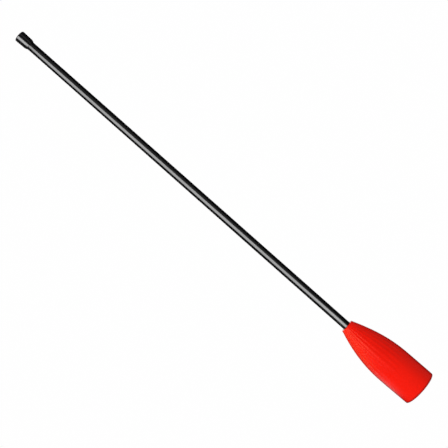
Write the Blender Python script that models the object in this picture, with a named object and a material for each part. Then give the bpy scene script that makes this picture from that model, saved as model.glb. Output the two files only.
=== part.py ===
# Oar with a straight tube shaft, a slip-on cap at the handle end and a hollow bell-shaped blade.
# The origin is the centre of the bell's rim plane and +Z runs along the shaft to the handle cap.
# Dimensions are in millimetres. The helpers turn them into metres.
import math

import bmesh
import bpy
import numpy as np
from mathutils import Matrix

MM = 0.001

# ---- shared dimensions ----
GAP = 0.3  # clearance between neighbouring pieces
OVERCUT = 1.0  # how far a cutter or guide runs past the face it crosses
ROUND = 48  # segments of the largest round pieces
PLUG_STEPS = 36  # segments of the plugs, the fender washer and the bolt chamfer
HOLE_STEPS = 16  # segments of the bosses and the screw holes

OVERALL = 1777.0  # rim plane to the top of the handle cap
TUBE_R = 15.0
TUBE_WALL = 1.5
TUBE_BORE_R = TUBE_R - TUBE_WALL
TUBE_BOTTOM = 208.0
TUBE_TOP = 1767.0
SOCKET_R = TUBE_R + GAP  # bore of every piece that takes the tube
PLUG_R = TUBE_BORE_R - GAP  # pieces inside the tube


# ---- helpers ----
def material(name, colour, roughness, metallic=0.0):
    mat = bpy.data.materials.new(name)
    mat.use_nodes = True
    bsdf = mat.node_tree.nodes["Principled BSDF"]
    bsdf.inputs["Base Color"].default_value = (*colour, 1.0)
    bsdf.inputs["Roughness"].default_value = roughness
    bsdf.inputs["Metallic"].default_value = metallic
    mat.diffuse_color = (*colour, 1.0)
    return mat


def add_frame(name, parent, height):
    """An empty on the Z axis, at a height above its parent."""
    frame = bpy.data.objects.new(name, None)
    bpy.context.scene.collection.objects.link(frame)
    frame.parent = parent
    frame.location = (0, 0, height * MM)
    return frame


def add_object(name, bm, frame):
    """A mesh object with its origin at the world origin, whatever the height of its frame."""
    bmesh.ops.recalc_face_normals(bm, faces=bm.faces[:])
    mesh = bpy.data.meshes.new(name)
    bm.to_mesh(mesh)
    bm.free()
    ob = bpy.data.objects.new(name, mesh)
    bpy.context.scene.collection.objects.link(ob)
    ob.parent = frame
    ob.matrix_parent_inverse = frame.matrix_world.inverted()
    return ob


def add_piece(name, bm, mat, frame):
    ob = add_object(name, bm, frame)
    ob.data.shade_smooth()
    ob.data.set_sharp_from_angle(angle=math.radians(32))
    ob.data.materials.append(mat)
    return ob


def add_helper(name, bm, frame):
    """A boolean operand, hidden from renders."""
    ob = add_object(name, bm, frame)
    ob.hide_render = True
    ob.display_type = "WIRE"
    return ob


def boolean(ob, helper, operation):
    mod = ob.modifiers.new(operation.title() + "_" + helper.name, "BOOLEAN")
    mod.object = helper
    mod.operation = operation
    mod.solver = "EXACT"


def lathe(profile, steps=ROUND):
    """(r, z) points spun round Z. The profile closes itself unless both ends lie on the axis."""
    bm = bmesh.new()
    verts = [bm.verts.new((r * MM, 0.0, z * MM)) for r, z in profile]
    edges = [bm.edges.new(pair) for pair in zip(verts, verts[1:])]
    if not (profile[0][0] == 0.0 and profile[-1][0] == 0.0):
        edges.append(bm.edges.new((verts[-1], verts[0])))
    bmesh.ops.spin(
        bm,
        geom=verts + edges,
        axis=(0, 0, 1),
        cent=(0, 0, 0),
        angle=2 * math.pi,
        steps=steps,
        use_merge=True,
    )
    bmesh.ops.remove_doubles(bm, verts=bm.verts[:], dist=2e-6)
    return bm


def arc(centre_r, centre_z, radius, start, end, steps):
    """(r, z) points on an arc, angles in degrees, 0 pointing outwards and 90 up."""
    angles = [math.radians(start + (end - start) * i / steps) for i in range(steps + 1)]
    return [
        (centre_r + radius * math.cos(a), centre_z + radius * math.sin(a)) for a in angles
    ]


def ring(major, minor, z, steps=32, sides=6):
    """A torus round Z with its centre at height z."""
    angles = [2 * math.pi * i / sides for i in range(sides)]
    profile = [(major + minor * math.cos(a), z + minor * math.sin(a)) for a in angles]
    return lathe(profile, steps)


def circle(radius, steps, turn=0.0):
    angles = [2 * math.pi * i / steps + turn for i in range(steps)]
    return [(radius * math.cos(a), radius * math.sin(a)) for a in angles]


def extrude(corners, direction, matrix):
    """A flat polygon of (x, y, z) corners swept along a direction, then placed by the matrix."""
    bm = bmesh.new()
    face = bm.faces.new([bm.verts.new((x * MM, y * MM, z * MM)) for x, y, z in corners])
    moved = bmesh.ops.extrude_face_region(bm, geom=[face])["geom"]
    bmesh.ops.translate(
        bm,
        verts=[g for g in moved if isinstance(g, bmesh.types.BMVert)],
        vec=[d * MM for d in direction],
    )
    bmesh.ops.transform(bm, matrix=matrix, verts=bm.verts[:])
    return bm


def prism(outline, depth, matrix):
    """An (x, y) outline extruded along its own +Z."""
    return extrude([(x, y, 0.0) for x, y in outline], (0, 0, depth), matrix)


def radial_plate(outline, thickness, angle):
    """An upright plate with an (r, z) outline, standing at an angle round Z."""
    corners = [(r, -thickness / 2, z) for r, z in outline]
    return extrude(corners, (0, thickness, 0), turn_z(angle))


def turn_z(degrees):
    return Matrix.Rotation(math.radians(degrees), 4, "Z")


def polar(angle, radius, z):
    """A place at an angle in degrees and a radius round Z."""
    return turn_z(angle) @ Matrix.Translation((radius * MM, 0, z * MM))


def across_x(z, length):
    """Lays a prism of this length along X, centred on the axis. Its local +X points down."""
    start = Matrix.Translation((-length / 2 * MM, 0, z * MM))
    return start @ Matrix.Rotation(math.radians(90), 4, "Y")


for old in list(bpy.data.objects):
    bpy.data.objects.remove(old, do_unlink=True)

# ---- materials ----
BLACK_TUBE = material("black_tube", colour=(0.012, 0.012, 0.013), roughness=0.22)
BLACK_CAP = material("black_cap", colour=(0.010, 0.010, 0.011), roughness=0.30)
RED_PLASTIC = material("red_plastic", colour=(0.83, 0.012, 0.006), roughness=0.38)
HUB_PLASTIC = material("hub_plastic", colour=(0.025, 0.025, 0.027), roughness=0.50)
PLUG_PLASTIC = material("plug_plastic", colour=(0.72, 0.71, 0.67), roughness=0.55)
FOAM = material("foam", colour=(0.30, 0.31, 0.33), roughness=0.90)
RUBBER = material("rubber", colour=(0.015, 0.015, 0.015), roughness=0.70)
STAINLESS = material("stainless", colour=(0.62, 0.61, 0.59), roughness=0.30, metallic=1.0)
BRASS = material("brass", colour=(0.72, 0.52, 0.20), roughness=0.32, metallic=1.0)

# ---- shaft: tube, and the anchor, foam and handle plugs inside it ----
ANCHOR_TOP = 274.0
ANCHOR_BORE_R = 4.45
ANCHOR_BORE_TOP = 247.0
ANCHOR_RING_Z = 267.0
INSERT_R = 5.6
INSERT_BORE_R = 4.3
INSERT_LEN = 22.0
INSERT_TOP = TUBE_BOTTOM + INSERT_LEN
PIN_Z = 257.0
PIN_R = 2.5
PIN_WALL = 0.8
PIN_LEN = 2 * (TUBE_R - GAP)
PIN_SLOT_HALF = 24  # degrees
PIN_STEPS = 16
PIN_HOLE_LEN = 34.0
PLUG_GROOVE_DEPTH = 1.9
PLUG_GROOVE_HALF = 1.5  # half the height of an O-ring groove
FOAM_LEN = 120.0
LOWER_FOAM_Z = ANCHOR_TOP + 1.0
UPPER_FOAM_Z = TUBE_TOP - 150.0
HANDLE_PLUG_Z = TUBE_TOP - 28.0
HANDLE_PLUG_TOP = TUBE_TOP + 3.0
HANDLE_PLUG_LIP_R = TUBE_R - 0.2
HANDLE_RING_Z = TUBE_TOP - 16.0


def shaft_tube():
    outer_edge, bore_edge = 0.4, 0.3
    return lathe(
        [
            (TUBE_BORE_R + bore_edge, TUBE_BOTTOM),
            (TUBE_R - outer_edge, TUBE_BOTTOM),
            (TUBE_R, TUBE_BOTTOM + outer_edge),
            (TUBE_R, TUBE_TOP - outer_edge),
            (TUBE_R - outer_edge, TUBE_TOP),
            (TUBE_BORE_R + bore_edge, TUBE_TOP),
            (TUBE_BORE_R, TUBE_TOP - bore_edge),
            (TUBE_BORE_R, TUBE_BOTTOM + bore_edge),
        ]
    )


def plug_groove(z):
    """The (r, z) points of an O-ring groove in a plug, from the bottom up."""
    floor_r = PLUG_R - PLUG_GROOVE_DEPTH
    low, high = z - PLUG_GROOVE_HALF, z + PLUG_GROOVE_HALF
    return [(PLUG_R, low), (floor_r, low), (floor_r, high), (PLUG_R, high)]


def plug_oring(z):
    return ring(major=PLUG_R - 0.75, minor=0.85, z=z)


def anchor_plug():
    bottom = TUBE_BOTTOM + GAP
    bottom_edge, top_edge = 0.8, 1.5
    pocket_r = INSERT_R + GAP
    pocket_top = INSERT_TOP + 1.0
    profile = [
        (pocket_r, bottom),
        (PLUG_R - bottom_edge, bottom),
        (PLUG_R, bottom + bottom_edge),
        *plug_groove(ANCHOR_RING_Z),
        (PLUG_R, ANCHOR_TOP - top_edge),
        (PLUG_R - top_edge, ANCHOR_TOP),
        (0.0, ANCHOR_TOP),
        (0.0, ANCHOR_BORE_TOP),
        (ANCHOR_BORE_R, ANCHOR_BORE_TOP),
        (ANCHOR_BORE_R, pocket_top),
        (pocket_r, pocket_top),
    ]
    return lathe(profile, PLUG_STEPS)


def threaded_insert():
    """A sleeve with one groove round its outside."""
    bottom = TUBE_BOTTOM + 0.6
    outer_edge, bore_edge = 0.4, 0.5
    groove_r = INSERT_R - 0.7
    profile = [
        (INSERT_BORE_R + bore_edge, bottom),
        (INSERT_R - outer_edge, bottom),
        (INSERT_R, bottom + outer_edge),
        (INSERT_R, TUBE_BOTTOM + 7.0),
        (groove_r, TUBE_BOTTOM + 7.6),
        (groove_r, TUBE_BOTTOM + 9.4),
        (INSERT_R, TUBE_BOTTOM + 10.0),
        (INSERT_R, INSERT_TOP - outer_edge),
        (INSERT_R - outer_edge, INSERT_TOP),
        (INSERT_BORE_R + bore_edge, INSERT_TOP),
        (INSERT_BORE_R, INSERT_TOP - bore_edge),
        (INSERT_BORE_R, bottom + bore_edge),
    ]
    return lathe(profile, 24)


def anchor_pin():
    """A rolled spring pin across the shaft: a tube with one lengthwise slot, facing down."""
    slot = math.radians(PIN_SLOT_HALF)
    angles = [slot + (2 * math.pi - 2 * slot) * i / PIN_STEPS for i in range(PIN_STEPS + 1)]
    outer, inner = (
        [(r * math.cos(a), r * math.sin(a)) for a in angles] for r in (PIN_R, PIN_R - PIN_WALL)
    )
    return prism(outer + inner[::-1], PIN_LEN, across_x(PIN_Z, PIN_LEN))


def foam_plug(bottom):
    edge = 1.2
    top = bottom + FOAM_LEN
    profile = [
        (0.0, bottom),
        (PLUG_R - edge, bottom),
        (PLUG_R, bottom + edge),
        (PLUG_R, top - edge),
        (PLUG_R - edge, top),
        (0.0, top),
    ]
    return lathe(profile, 32)


def handle_plug():
    """A plug in the tube's top end, with a lip that sits over the tube's end face."""
    lip_bottom = TUBE_TOP + GAP
    lower_edge, upper_edge = 0.4, 0.8
    profile = [
        (0.0, HANDLE_PLUG_Z),
        (PLUG_R - 1.6, HANDLE_PLUG_Z),
        (PLUG_R, HANDLE_PLUG_Z + 2.0),
        *plug_groove(HANDLE_RING_Z),
        (PLUG_R, lip_bottom),
        (HANDLE_PLUG_LIP_R - lower_edge, lip_bottom),
        (HANDLE_PLUG_LIP_R, lip_bottom + lower_edge),
        (HANDLE_PLUG_LIP_R, HANDLE_PLUG_TOP - upper_edge),
        (HANDLE_PLUG_LIP_R - upper_edge, HANDLE_PLUG_TOP),
        (0.0, HANDLE_PLUG_TOP),
    ]
    return lathe(profile, PLUG_STEPS)


def build_shaft(frame):
    tube = add_piece("shaft_tube", shaft_tube(), BLACK_TUBE, frame)
    anchor = add_piece("anchor_plug", anchor_plug(), PLUG_PLASTIC, frame)
    hole = prism(circle(PIN_R + GAP, 20), PIN_HOLE_LEN, across_x(PIN_Z, PIN_HOLE_LEN))
    pin_hole = add_helper("pin_hole_cutter", hole, frame)
    for ob in (tube, anchor):
        boolean(ob, pin_hole, "DIFFERENCE")
    add_piece("threaded_insert", threaded_insert(), BRASS, frame)
    add_piece("anchor_pin", anchor_pin(), STAINLESS, frame)
    add_piece("anchor_oring", plug_oring(ANCHOR_RING_Z), RUBBER, frame)
    add_piece("lower_foam_plug", foam_plug(LOWER_FOAM_Z), FOAM, frame)
    add_piece("upper_foam_plug", foam_plug(UPPER_FOAM_Z), FOAM, frame)
    add_piece("handle_plug", handle_plug(), PLUG_PLASTIC, frame)
    add_piece("handle_plug_oring", plug_oring(HANDLE_RING_Z), RUBBER, frame)


# ---- handle cap ----
CAP_SKIRT_Z = 1727.0
CAP_SKIRT_R = 16.5
CAP_SHOULDER_Z = 1735.0
CAP_SHOULDER_R = 18.9
CAP_TOP_R = 20.0
CAP_EDGE_R = 3.0  # rounding of the top edge
CAP_BORE_TOP = 1770.6


def handle_cap():
    bore_lip, bore_edge = 0.2, 1.0
    edge_centre_r = CAP_TOP_R - CAP_EDGE_R
    outside = [
        (0.0, OVERALL),
        (edge_centre_r - 2.0, OVERALL),
        *arc(edge_centre_r, OVERALL - CAP_EDGE_R, CAP_EDGE_R, start=90, end=0, steps=4),
        (CAP_TOP_R, OVERALL - 9.0),
        (CAP_TOP_R - 0.3, OVERALL - 16.0),
        (CAP_SHOULDER_R + 0.25, CAP_SHOULDER_Z + 8.0),
        (CAP_SHOULDER_R, CAP_SHOULDER_Z + 1.6),
        (CAP_SHOULDER_R - 0.45, CAP_SHOULDER_Z),
        (CAP_SKIRT_R + 0.1, CAP_SKIRT_Z + 0.9),
        (CAP_SKIRT_R - 0.3, CAP_SKIRT_Z),
    ]
    bore = [
        (SOCKET_R + bore_lip, CAP_SKIRT_Z),
        (SOCKET_R, CAP_SKIRT_Z + bore_lip),
        (SOCKET_R, CAP_BORE_TOP - bore_edge),
        (SOCKET_R - bore_edge, CAP_BORE_TOP),
        (0.0, CAP_BORE_TOP),
    ]
    return lathe(outside + bore)


# ---- bell ----
BELL_NECK_Z = 319.0  # neck face
BELL_NECK_R = 22.8
BELL_TAPER = 207.0  # length of the curved taper below the neck face
BELL_TAPER_Z = BELL_NECK_Z - BELL_TAPER
BELL_R = 65.3  # radius where the taper ends
BELL_RIM_R = 64.6
BELL_WAIST = 0.9  # how far the upper part of the taper is drawn in
WAIST_SCALE = 12.2  # brings the peak of s^4 (1 - s) to about 1
BELL_WALL = 3.4
BELL_RIM_EDGE = 0.9  # rounding of the rim's edges
BELL_NECK_EDGE = 1.6
FLUTES = 24
FLUTE_DEPTH = 0.4  # half of the peak-to-valley height on the taper
FLUTE_TOP_Z = 313.0
FLUTE_BOTTOM_Z = 78.0
FLUTE_FADE_TOP = 22.0  # heights over which the flutes fade in from each end
FLUTE_FADE_BOTTOM = 95.0
FLUTE_SKIN = 0.4  # points within this depth of the outer surface take the flutes

COLLAR_Z = 286.0  # lower end of the collar that hangs inside the neck
COLLAR_R = 21.3
COLLAR_TOP = BELL_NECK_Z - 15.0
RING_GROOVE_Z = 302.0
RING_GROOVE_H = 3.6
RING_GROOVE_TOP = RING_GROOVE_Z + RING_GROOVE_H
RING_GROOVE_R = 18.6

BOSS_ANGLES = [30.0, 150.0, 270.0]
BOSS_R = 4.6
BOSS_AT_R = 44.5
BOSS_Z = 197.4  # lower face of the screw bosses
BOSS_TOP_Z = 226.0
BOSS_HOLE_R = 2.3
BOSS_HOLE_DEPTH = 15.0
WEB_T = 4.0
WEB_SINK = 0.9  # how far a web runs into the bell's wall


def bell_radius(z):
    """Outer radius at height z: a slight barrel up to the taper, then one curve to the neck."""
    if z <= BELL_TAPER_Z:
        s = z / BELL_TAPER_Z
        return BELL_RIM_R + (BELL_R - BELL_RIM_R) * s * (2.0 - s)
    s = (z - BELL_TAPER_Z) / BELL_TAPER
    waist = BELL_WAIST * WAIST_SCALE * s**4 * (1.0 - s)
    return BELL_R - (BELL_R - BELL_NECK_R) * s * s - waist


def bell_inner_radius(z):
    """Inner radius of the taper, with the wall measured square to the outer surface."""
    slope = bell_radius(z + 0.5) - bell_radius(z - 0.5)
    return bell_radius(z) - BELL_WALL * math.sqrt(1.0 + slope * slope)


def flute_weight(z):
    """Strength of the flutes at height z: none at either end, full on the taper."""
    if z >= FLUTE_TOP_Z or z <= FLUTE_BOTTOM_Z:
        return 0.0
    top = min(1.0, (FLUTE_TOP_Z - z) / FLUTE_FADE_TOP)
    bottom = min(1.0, (z - FLUTE_BOTTOM_Z) / FLUTE_FADE_BOTTOM)
    return top * bottom * bottom * (3.0 - 2.0 * bottom)


def bell_profile():
    rim, neck = BELL_RIM_EDGE, BELL_NECK_EDGE
    bore_edge = 0.6
    levels = [14.0, 46.0, 78.0, 96.0, 112.0]
    levels += list(np.arange(128.0, BELL_NECK_Z - 9.0, 15.5))
    levels.append(BELL_NECK_Z - 4.5)
    neck_centre_r = bell_radius(BELL_NECK_Z - neck) - neck
    outside = [
        *arc(BELL_RIM_R - rim, rim, rim, start=-90, end=0, steps=3),
        *((bell_radius(z), z) for z in levels),
        *arc(neck_centre_r, BELL_NECK_Z - neck, neck, start=10, end=90, steps=4),
    ]
    bore = [
        (SOCKET_R + bore_edge, BELL_NECK_Z),
        (SOCKET_R, BELL_NECK_Z - bore_edge),
        (SOCKET_R, RING_GROOVE_TOP),
        (RING_GROOVE_R, RING_GROOVE_TOP),
        (RING_GROOVE_R, RING_GROOVE_Z),
        (SOCKET_R, RING_GROOVE_Z),
        (SOCKET_R, COLLAR_Z + bore_edge),
        (SOCKET_R + bore_edge, COLLAR_Z),
        (COLLAR_R, COLLAR_Z),
    ]
    inside = [
        (COLLAR_R, COLLAR_TOP - 1.0),
        (COLLAR_R + 0.8, COLLAR_TOP),
        *((bell_inner_radius(z), z) for z in np.arange(COLLAR_TOP - 3.0, 120.0, -22.0)),
        (BELL_R - BELL_WALL, 108.0),
        (BELL_RIM_R + 0.5 - BELL_WALL, 40.0),
        *arc(BELL_RIM_R - BELL_WALL + rim, rim, rim, start=180, end=270, steps=3),
    ]
    return outside + bore + inside


def bell_shell():
    """The bell's lathe, its outer points moved out and in by turns to make the flutes."""
    bm = lathe(bell_profile(), FLUTES * 2)
    for vert in bm.verts:
        x, y, z = vert.co
        r = math.hypot(x, y)
        height = z / MM
        if r > (bell_radius(height) - FLUTE_SKIN) * MM:
            column = round(math.atan2(y, x) / (math.pi / FLUTES))
            side = 1.0 if column % 2 == 0 else -1.0
            fluted_r = r + FLUTE_DEPTH * flute_weight(height) * side * MM
            vert.co = (fluted_r * x / r, fluted_r * y / r, z)
    return bm


def boss_web(angle):
    """A rib that runs from a boss out into the bell's wall."""
    low, high = BOSS_Z + 1.0, BOSS_TOP_Z - 1.0
    inner_r = BOSS_AT_R + 1.0
    low_r, high_r = (bell_radius(z) - BELL_WALL + WEB_SINK for z in (BOSS_Z, BOSS_TOP_Z))
    outline = [(inner_r, low), (low_r, low), (high_r, high), (inner_r, high)]
    return radial_plate(outline, WEB_T, angle)


def build_bell(frame):
    bell = add_piece("bell_shell", bell_shell(), RED_PLASTIC, frame)
    for i, angle in enumerate(BOSS_ANGLES, start=1):
        place = polar(angle, BOSS_AT_R, BOSS_Z)
        post = prism(circle(BOSS_R, HOLE_STEPS), BOSS_TOP_Z - BOSS_Z, place)
        boolean(bell, add_helper(f"boss_{i}_guide", post, frame), "UNION")
        boolean(bell, add_helper(f"boss_{i}_web_guide", boss_web(angle), frame), "UNION")
    for i, angle in enumerate(BOSS_ANGLES, start=1):
        place = polar(angle, BOSS_AT_R, BOSS_Z - OVERCUT)
        hole = prism(circle(BOSS_HOLE_R, HOLE_STEPS), BOSS_HOLE_DEPTH + OVERCUT, place)
        boolean(bell, add_helper(f"boss_{i}_cutter", hole, frame), "DIFFERENCE")
    neck_oring = ring(
        major=(TUBE_R + RING_GROOVE_R) / 2.0,
        minor=1.45,
        z=RING_GROOVE_Z + RING_GROOVE_H / 2.0,
    )
    add_piece("neck_oring", neck_oring, RUBBER, frame)


# ---- socket hub ----
BOLT_R = 4.0
HUB_FLANGE_Z = 192.0
HUB_FLANGE_T = 5.0
HUB_FLANGE_TOP = HUB_FLANGE_Z + HUB_FLANGE_T
HUB_FLANGE_R = 53.4
HUB_FLOOR_Z = 199.6
HUB_FLOOR_TOP = 207.7
HUB_BOLT_HOLE_R = BOLT_R + 0.5
HUB_SLEEVE_R = 19.4
HUB_SLEEVE_TOP = 285.4
HUB_RECESS_R = 15.4
HUB_FINS = 6
HUB_FIN_T = 2.8
HUB_FIN_TOP = 262.0
HUB_SCREW_HOLE_R = 2.6
DRAIN_R = 7.0
DRAIN_AT_R = 36.0
DRAIN_ANGLES = [angle + 60.0 for angle in BOSS_ANGLES]


def socket_hub():
    """A flange with a sleeve round the tube's lower end and a floor under it."""
    lower_edge, upper_edge, recess_edge = 1.0, 0.8, 0.6
    sleeve_edge, fillet = 1.0, 2.0
    sleeve_top_r = HUB_SLEEVE_R - 0.1
    return lathe(
        [
            (HUB_RECESS_R + recess_edge, HUB_FLANGE_Z),
            (HUB_FLANGE_R - lower_edge, HUB_FLANGE_Z),
            (HUB_FLANGE_R, HUB_FLANGE_Z + lower_edge),
            (HUB_FLANGE_R, HUB_FLANGE_TOP - upper_edge),
            (HUB_FLANGE_R - upper_edge, HUB_FLANGE_TOP),
            (HUB_SLEEVE_R + fillet, HUB_FLANGE_TOP),
            (HUB_SLEEVE_R, HUB_FLANGE_TOP + fillet),
            (sleeve_top_r, HUB_SLEEVE_TOP - sleeve_edge),
            (sleeve_top_r - sleeve_edge, HUB_SLEEVE_TOP),
            (SOCKET_R + sleeve_edge, HUB_SLEEVE_TOP),
            (SOCKET_R, HUB_SLEEVE_TOP - sleeve_edge),
            (SOCKET_R, HUB_FLOOR_TOP),
            (HUB_BOLT_HOLE_R, HUB_FLOOR_TOP),
            (HUB_BOLT_HOLE_R, HUB_FLOOR_Z),
            (HUB_RECESS_R, HUB_FLOOR_Z),
            (HUB_RECESS_R, HUB_FLANGE_Z + recess_edge),
        ]
    )


def hub_fin(angle):
    """A fin from the sleeve to the flange, sunk a little into both."""
    root_r = HUB_SLEEVE_R - 1.5
    foot_r = HUB_FLANGE_R - 3.0
    foot_z = HUB_FLANGE_TOP - 1.0
    outline = [
        (root_r, foot_z),
        (foot_r, foot_z),
        (foot_r, HUB_FLANGE_TOP + 3.0),
        (HUB_SLEEVE_R + 4.0, HUB_FIN_TOP - 4.0),
        (HUB_SLEEVE_R + 2.4, HUB_FIN_TOP),
        (root_r, HUB_FIN_TOP),
    ]
    return radial_plate(outline, HUB_FIN_T, angle)


def drill_flange(hub, kind, angles, at_r, outline, frame):
    for i, angle in enumerate(angles, start=1):
        place = polar(angle, at_r, HUB_FLANGE_Z - OVERCUT)
        hole = prism(outline, HUB_FLANGE_T + 2 * OVERCUT, place)
        boolean(hub, add_helper(f"hub_{kind}_{i}_cutter", hole, frame), "DIFFERENCE")


def build_hub(frame):
    hub = add_piece("socket_hub", socket_hub(), HUB_PLASTIC, frame)
    for i in range(HUB_FINS):
        fin = hub_fin(360.0 / HUB_FINS * i)
        boolean(hub, add_helper(f"fin_{i + 1}_guide", fin, frame), "UNION")
    screw_hole = circle(HUB_SCREW_HOLE_R, HOLE_STEPS)
    drill_flange(hub, "screw_hole", BOSS_ANGLES, BOSS_AT_R, screw_hole, frame)
    # Drain and lightening holes between the fins.
    drill_flange(hub, "drain", DRAIN_ANGLES, DRAIN_AT_R, circle(DRAIN_R, 20), frame)


# ---- bolt, washers and screws, stacked downwards from the hub's floor and flange ----
FENDER_R = 12.0
FENDER_TOP = HUB_FLOOR_Z - GAP
FENDER_BOTTOM = FENDER_TOP - 1.8
SPRING_T = 1.7
SPRING_RISE = 0.3  # height between the two ends of the spring washer
SPRING_BOTTOM = FENDER_BOTTOM - GAP - (SPRING_T + SPRING_RISE)
SPRING_BORE_R = BOLT_R + 0.3
SPRING_R = 7.2
SPRING_GAP_HALF = 9  # degrees
SPRING_STEPS = 28
HEAD_T = 5.3
HEAD_TOP = SPRING_BOTTOM - GAP
HEAD_BOTTOM = HEAD_TOP - HEAD_T
HEAD_R = 7.5  # to the hexagon's corners
BOLT_STEP_Z = 222.0  # the shank is slimmer above this height
BOLT_STEP = 0.35
BOLT_TIP_Z = 244.0

SCREW_SEAT_Z = HUB_FLANGE_Z - GAP
# (radius, height above the seat), from the head's face up to the tip
SCREW_PROFILE = [
    (0.0, -2.7), (2.0, -2.65), (3.2, -2.1), (3.9, -1.2), (4.0, -0.3),
    (3.8, 0.0), (1.9, 0.0), (1.9, 14.0), (0.6, 17.0), (0.0, 17.2),
]
RECESS_X = 2.1  # half length and half width of each bar of the cross recess
RECESS_Y = 0.45
RECESS_H = 2.4
RECESS_Z = SCREW_SEAT_Z - 3.4
RECESS_STAGGER = 0.1  # the second bar sits this much lower


def fender_washer():
    edge = 0.3
    bore_r = BOLT_R + 0.4
    profile = [
        (bore_r, FENDER_BOTTOM),
        (FENDER_R - edge, FENDER_BOTTOM),
        (FENDER_R, FENDER_BOTTOM + edge),
        (FENDER_R, FENDER_TOP - edge),
        (FENDER_R - edge, FENDER_TOP),
        (bore_r, FENDER_TOP),
    ]
    return lathe(profile, PLUG_STEPS)


def spring_washer():
    """One turn of flat wire with its ends a little apart and offset in height."""
    bm = bmesh.new()
    gap = math.radians(SPRING_GAP_HALF)
    section = [
        (SPRING_BORE_R, 0.0), (SPRING_R, 0.0), (SPRING_R, SPRING_T), (SPRING_BORE_R, SPRING_T)
    ]
    rings = []
    for i in range(SPRING_STEPS + 1):
        angle = gap + (2 * math.pi - 2 * gap) * i / SPRING_STEPS
        x, y = math.cos(angle), math.sin(angle)
        base = SPRING_BOTTOM + SPRING_RISE * i / SPRING_STEPS
        rings.append(
            [bm.verts.new((r * x * MM, r * y * MM, (base + z) * MM)) for r, z in section]
        )
    for near, far in zip(rings, rings[1:]):
        for k in range(4):
            following = (k + 1) % 4
            bm.faces.new((near[k], near[following], far[following], far[k]))
    bm.faces.new(rings[0])
    bm.faces.new(rings[-1][::-1])
    return bm


def build_bolt(frame):
    """A round shank with a tapered tip, joined to a hex head with a chamfered lower face."""
    shank_z = HEAD_BOTTOM + 1.0
    slim_r = BOLT_R - BOLT_STEP
    tip_r = BOLT_R - 1.4
    shank = [
        (0.0, shank_z),
        (BOLT_R, shank_z),
        (BOLT_R, BOLT_STEP_Z),
        (slim_r, BOLT_STEP_Z + 0.6),
        (slim_r, BOLT_TIP_Z - 1.4),
        (tip_r, BOLT_TIP_Z),
        (0.0, BOLT_TIP_Z),
    ]
    chamfer_r = 8.6
    cone = [
        (0.0, HEAD_BOTTOM - OVERCUT),
        (5.2, HEAD_BOTTOM - OVERCUT),
        (chamfer_r, HEAD_BOTTOM + 1.2),
        (chamfer_r, HEAD_TOP + OVERCUT),
        (0.0, HEAD_TOP + OVERCUT),
    ]
    hexagon = prism(circle(HEAD_R, 6, math.radians(30)), HEAD_T, polar(0.0, 0.0, HEAD_BOTTOM))
    bolt = add_piece("hub_bolt", lathe(shank, 24), STAINLESS, frame)
    head = add_helper("bolt_head_guide", hexagon, frame)
    chamfer = add_helper("bolt_chamfer_guide", lathe(cone, PLUG_STEPS), frame)
    boolean(head, chamfer, "INTERSECT")
    boolean(bolt, head, "UNION")


def build_screw(number, angle, frame):
    """A pan-head screw with a cross recess, up through the hub's flange into a boss."""
    profile = [(r, SCREW_SEAT_Z + z) for r, z in SCREW_PROFILE]
    screw = add_piece(f"hub_screw_{number}", lathe(profile, 20), STAINLESS, frame)
    parts = [screw]
    rectangle = [
        (-RECESS_X, -RECESS_Y), (RECESS_X, -RECESS_Y), (RECESS_X, RECESS_Y), (-RECESS_X, RECESS_Y)
    ]
    for k in range(2):
        lift = Matrix.Translation((0, 0, (RECESS_Z - RECESS_STAGGER * k) * MM))
        bar = prism(rectangle, RECESS_H, lift @ turn_z(90.0 * k))
        cutter = add_helper(f"recess_{number}_{k + 1}_cutter", bar, frame)
        boolean(screw, cutter, "DIFFERENCE")
        parts.append(cutter)
    for ob in parts:
        ob.matrix_world = polar(angle, BOSS_AT_R, 0.0)


# ---- assembly: the shaft lifts out of the bell's neck, and the cap pulls off the shaft ----
bell_frame = add_frame("bell_frame", None, 0.0)
shaft_frame = add_frame("shaft_frame", bell_frame, TUBE_BOTTOM)
cap_frame = add_frame("cap_frame", shaft_frame, CAP_SKIRT_Z - TUBE_BOTTOM)
bpy.context.view_layer.update()  # the pieces read the frames' world matrices

build_shaft(shaft_frame)
add_piece("handle_cap", handle_cap(), BLACK_CAP, cap_frame)
build_bell(bell_frame)
build_hub(bell_frame)
add_piece("fender_washer", fender_washer(), STAINLESS, bell_frame)
add_piece("spring_washer", spring_washer(), STAINLESS, bell_frame)
build_bolt(bell_frame)
for screw_number, boss_angle in enumerate(BOSS_ANGLES, start=1):
    build_screw(screw_number, boss_angle, bell_frame)
bpy.context.view_layer.update()
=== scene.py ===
"""An oar with a bell-shaped blade on a long tubular shaft.

It stands on Z: the bell's rim is at z = 0 with its open side down, the tube rises out of the bell's
neck, and a cap closes the tube's upper end. The camera looks along +Y. Sizes are in millimetres
unless a comment says otherwise, and become metres where meshes are made.
"""

import math

import bmesh
import bpy
import numpy as np
from mathutils import Matrix, Quaternion, Vector


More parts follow.
